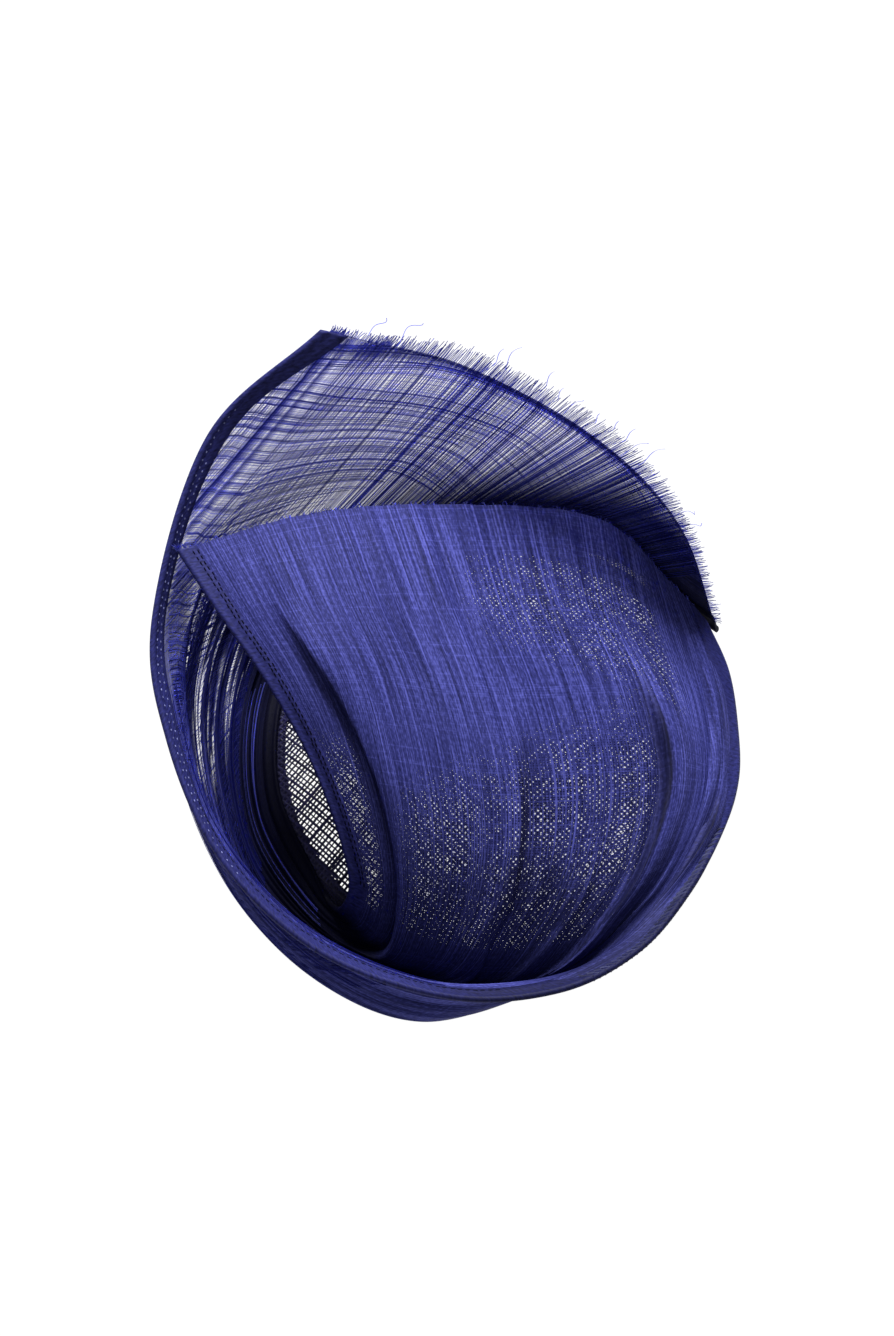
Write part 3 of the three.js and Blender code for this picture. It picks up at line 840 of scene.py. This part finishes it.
def sail_turn(across, along, angle):
    """How fast the places across and along change for one metre of a straight line up the sail."""
    run_across, run_along, _ = cloth_slopes(across, along)
    area = run_across[:, 0] * (run_along @ SAIL_UP) - run_along[:, 0] * (run_across @ SAIL_UP)
    full = np.linalg.norm(np.cross(run_across, run_along), axis=1)
    ahead, rise = np.cos(angle), np.sin(angle)
    turn_across = (ahead * (run_along @ SAIL_UP) - rise * run_along[:, 0]) / area
    turn_along = (rise * run_across[:, 0] - ahead * (run_across @ SAIL_UP)) / area
    return turn_across, turn_along, np.abs(area) > 0.03 * full


def silk_strand(across, along, width, tones):
    """One thread of the sail on one side of the cloth, through the places given."""
    points, out = cloth_point(across, along)
    side = rng.choice([-1, 1]) * SAIL_FLOAT
    width = width * rng.choice([0.65, 0.85, 1.0, 1.15, 1.35], p=[0.2, 0.25, 0.3, 0.19, 0.06])
    return points + out * side, out, width, SAIL_THREAD_DEPTH, rng.uniform(*tones)


ends_across = 0.02 + 0.96 * uneven_places(SAIL_WARPS)
across = np.concatenate([ends_across, np.full(SAIL_HEM_WARPS, 0.955)])
along = np.concatenate([
    np.full(SAIL_WARPS, LAST_STATION - 0.02),
    SAIL_FROM + 0.4 + (LAST_STATION - SAIL_FROM - 0.5) * uneven_places(SAIL_HEM_WARPS),
])
angle = np.radians(np.interp(across, FAN_PLACES, FAN_ANGLES))
going = np.ones(len(across), dtype=bool)
lines = [[] for _ in across]
for step in range(SAIL_STEPS):
    if step % SAIL_KEPT == 0:
        for i in np.flatnonzero(going):
            lines[i].append((across[i], along[i]))
    turn_across, turn_along, _ = sail_turn(across, along, angle)
    middle_across = np.clip(across - turn_across * SAIL_STEP / 2, 0, 1)
    middle_along = np.clip(along - turn_along * SAIL_STEP / 2, 0, LAST_STATION)
    turn_across, turn_along, clear = sail_turn(middle_across, middle_along, angle)
    across = np.where(going, across - turn_across * SAIL_STEP, across)
    along = np.where(going, along - turn_along * SAIL_STEP, along)
    going = going & clear & (across > 0.04) & (across < 0.96) & (along > SAIL_FROM) & (along < LAST_STATION)
    across, along = np.clip(across, 0, 1), np.clip(along, 0, LAST_STATION)
warps = [silk_strand(*np.array(line).T, SAIL_WARP_WIDTH, (0, 0.7)) for line in lines if len(line) > 3]

wefts = []
starts = SAIL_FROM + (LAST_STATION - 0.02 - SAIL_FROM) * uneven_places(SAIL_WEFTS, 0.65)
across = np.linspace(0.94, 0.08, 48)
rows = [starts]
for i in range(1, len(across)):
    at = np.full_like(starts, across[i - 1])
    run_across, run_along, _ = cloth_slopes(at, np.clip(rows[-1], 0, LAST_STATION))
    level = -run_across[:, 1] / np.maximum(run_along[:, 1], 20 * MM)
    slope = np.clip(level, -6, 6) * ease(at, 0.6, 0.9)
    rows.append(rows[-1] + slope * (across[i] - across[i - 1]))
for along in np.stack(rows, axis=1):
    inside = (along < LAST_STATION - 0.01) & (along > 11.6 - 2.0 * ease(across, 0.4, 0.7))
    inside = inside & (across > rng.uniform(0.15, 0.5) + 0.25 * (1 - ease(along[0], 12.2, 12.8)))
    count = np.argmin(inside | (across > 0.93)) or len(along)
    if count > 3:
        kept = np.minimum(along[:count], LAST_STATION - 0.01)
        wefts.append(silk_strand(across[:count], kept, SAIL_WEFT_WIDTH, (0.1, 0.9)))

# The left wall has the same threads, still laid straight and close.
WALL_WARPS = 135
WALL_WEFTS = 150
wall_threads = []
along = np.linspace(7.8, 11.2, 50)
for at in 0.27 + 0.68 * uneven_places(WALL_WARPS):
    drift = 0.003 * np.sin(2 * along + rng.uniform(0, 6))
    wall_threads.append(silk_strand(at + drift, along, 1.6 * SAIL_WARP_WIDTH, (0, 0.3)))
across = np.linspace(0.27, 0.95, 26)
for station in 8.0 + 3.0 * uneven_places(WALL_WEFTS):
    wall_threads.append(silk_strand(across, np.full_like(across, station), SAIL_WEFT_WIDTH, (0, 0.5)))
# Nine pale threads near the foot of the wall are a painted highlight: a bright run where light catches them.
along = np.linspace(6.9, 9.2, 40)
for at in rng.uniform(0.15, 0.24, 9):
    drift = 0.006 * np.sin(2 * along + rng.uniform(0, 6))
    wall_threads.append(silk_strand(at + drift, along, SAIL_WARP_WIDTH, (0.8, 1)))

# Single silk threads: the cloth's own blue, and clear enough to glow a little with light behind them.
silk_thread, tree = new_material("silk_thread")
colour = blend(tree, attribute(tree, "shade"), linear("#1e2284"), linear("#8088ff"))
set_surface(tree, {
    "Base Color": colour,
    "Roughness": 0.5,
    "IOR": 1.1,
    "Transmission Weight": 0.7,
})

for name, threads in (("sail_warp", warps), ("sail_weft", wefts), ("wall_threads", wall_threads)):
    piece = new_object(name, thread_mesh(name, threads), silk_thread)
    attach(piece, "root")
    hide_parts("silk_swirl")


# Frayed end. The last weft threads are drawn out of the cloth, so that its warp stands free as a short,
# even fringe, and a few finer strands have sprung out of it and curled.
FRINGE_LENGTHS = (5.0, 8.5)
FRINGE_WIDTH = 0.38 * MM
CURLS = (0.92, 0.86, 0.72, 0.7, 0.63, 0.6, 0.57, 0.53, 0.5, 0.47, 0.44, 0.41, 0.27, 0.24)
CURL_WIDTH = 0.28 * MM
CURL_LENGTHS = (10, 15)
RAW_EDGE_FIBRES = 220
RAW_CORNER_FIBRES = 30

rng = np.random.default_rng(23)
strands = []
last = np.array([float(LAST_STATION)])
for i, end in enumerate([*ends_across, *CURLS]):
    at = np.array([end])
    root, up = cloth_point(at, last)
    turn_across, turn_along, _ = sail_turn(at, last, np.radians(np.interp(at, FAN_PLACES, FAN_ANGLES)))
    run_across, run_along, _ = cloth_slopes(at, last)
    ahead = run_across[0] * turn_across + run_along[0] * turn_along
    angle = math.radians(np.interp(end, FAN_PLACES, FAN_ANGLES))
    straight = np.array([math.cos(angle), 0, 0]) + math.sin(angle) * SAIL_UP
    ahead = 0.3 * ahead / np.linalg.norm(ahead) + 0.7 * straight
    ahead /= np.linalg.norm(ahead)
    side = np.cross(up[0], ahead)
    if i < SAIL_WARPS:
        fullness = 0.4 + 0.6 * ease(end, 0.1, 0.5) * (1 - ease(end, 0.75, 0.95))
        length = rng.uniform(*FRINGE_LENGTHS) * fullness * MM
        steps = np.linspace(-0.25, 1, 6)[:, None]
        curl = (side * rng.normal(0, 0.5) + up[0] * rng.normal(0, 0.5)) * np.maximum(steps, 0) ** 2 * MM
        width = FRINGE_WIDTH * np.linspace(1, 0.7, 6)
        tone = rng.uniform(0, 0.4)
    else:
        length = rng.uniform(*CURL_LENGTHS) * MM
        steps = np.linspace(0, 1, 18)[:, None]
        phase = rng.uniform(0, 6)
        swing = rng.uniform(1.5, 3.0) * rng.choice([-1, 1]) * steps * MM
        curl = side * swing * np.sin(5 * steps**2 + phase) + up[0] * swing * np.cos(4 * steps + phase)
        width = CURL_WIDTH
        tone = 1.0
    path = root + ahead * length * steps + curl
    strands.append((path, np.repeat(up, len(path), axis=0), width, 0.7 * np.min(width), tone))

# The strip's other end is cut raw: only short fibres stand out of it, thickest at its inner corner.
for at in np.concatenate([
    rng.uniform(0.02, 0.98, RAW_EDGE_FIBRES), rng.uniform(0, 0.02, RAW_CORNER_FIBRES),
]):
    at = np.array([at])
    root, up = cloth_point(at, np.zeros(1))
    run_across, run_along, _ = cloth_slopes(at, np.zeros(1))
    ahead = -run_along[0] / np.linalg.norm(run_along[0])
    side = run_across[0] / np.linalg.norm(run_across[0])
    length = rng.uniform(0.6, 1.6) * MM * (2 if at[0] < 0.02 else 1)
    steps = np.linspace(-0.2, 1, 4)[:, None]
    lean = side * rng.normal(0, 0.5) + up[0] * rng.normal(0, 0.3)
    path = root + (ahead + lean * np.maximum(steps, 0)) * length * steps
    strands.append((path, np.repeat(up, 4, axis=0), 0.25 * MM, 0.2 * MM, rng.uniform(0, 1)))

fringe = new_object("frayed_threads", thread_mesh("frayed_threads", strands), silk_thread)
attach(fringe, "root")
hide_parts("frayed_fringe")


# Comb. A plain clear comb, sewn by its spine up inside the hollow of the base, teeth to the back.
COMB_TEETH = 12
COMB_SPINE = 8 * MM
COMB_SHARE = 0.55
comb_low, comb_high = (np.array(corner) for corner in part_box("hair_comb"))
comb_middle = (comb_low + comb_high) / 2
comb_size = comb_high - comb_low
pitch = comb_size[0] / COMB_TEETH

bm = bmesh.new()
spine = bmesh.ops.create_cube(bm, size=1)["verts"]
bmesh.ops.scale(bm, verts=spine, vec=(comb_size[0], COMB_SPINE, comb_size[2]))
bmesh.ops.translate(bm, verts=spine, vec=(comb_middle[0], comb_low[1] + COMB_SPINE / 2, comb_middle[2]))
bmesh.ops.bevel(
    bm, geom=list(bm.edges), offset=0.7 * MM, segments=3, profile=0.5, affect="EDGES", material=-1,
)
tooth_length = comb_size[1] - COMB_SPINE + 1 * MM
for i in range(COMB_TEETH):
    tooth = bmesh.ops.create_cone(
        bm, cap_ends=True, segments=10, radius1=0.5, radius2=0.22, depth=1,
    )["verts"]
    bmesh.ops.rotate(bm, verts=tooth, cent=(0, 0, 0), matrix=Matrix.Rotation(-math.pi / 2, 3, "X"))
    bmesh.ops.scale(bm, verts=tooth, vec=(pitch * COMB_SHARE, tooth_length, comb_size[2] * 0.9))
    bmesh.ops.translate(bm, verts=tooth, vec=(
        comb_low[0] + (i + 0.5) * pitch, comb_high[1] - tooth_length / 2, comb_middle[2],
    ))
mesh = bpy.data.meshes.new("moulded_comb")
bmesh.ops.recalc_face_normals(bm, faces=bm.faces)
bm.to_mesh(mesh)
bm.free()

# Clear acrylic, moulded and tumbled: glossy, with a faint blue cast and flow lines.
acrylic, tree = new_material("clear_acrylic")
place = add_node(tree, "ShaderNodeTexCoord")
flow = add_node(tree, "ShaderNodeTexNoise", {
    "Vector": place.outputs["Object"], "Scale": 120.0, "Detail": 2.0,
})
colour = blend(tree, flow.outputs["Fac"], linear("#dfe2f6"), linear("#f4f5fd"))
set_surface(tree, {
    "Base Color": colour, "Roughness": 0.1, "IOR": 1.49, "Transmission Weight": 0.95,
})

comb = new_object("moulded_comb", mesh, acrylic)
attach(comb, "root")
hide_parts("hair_comb")
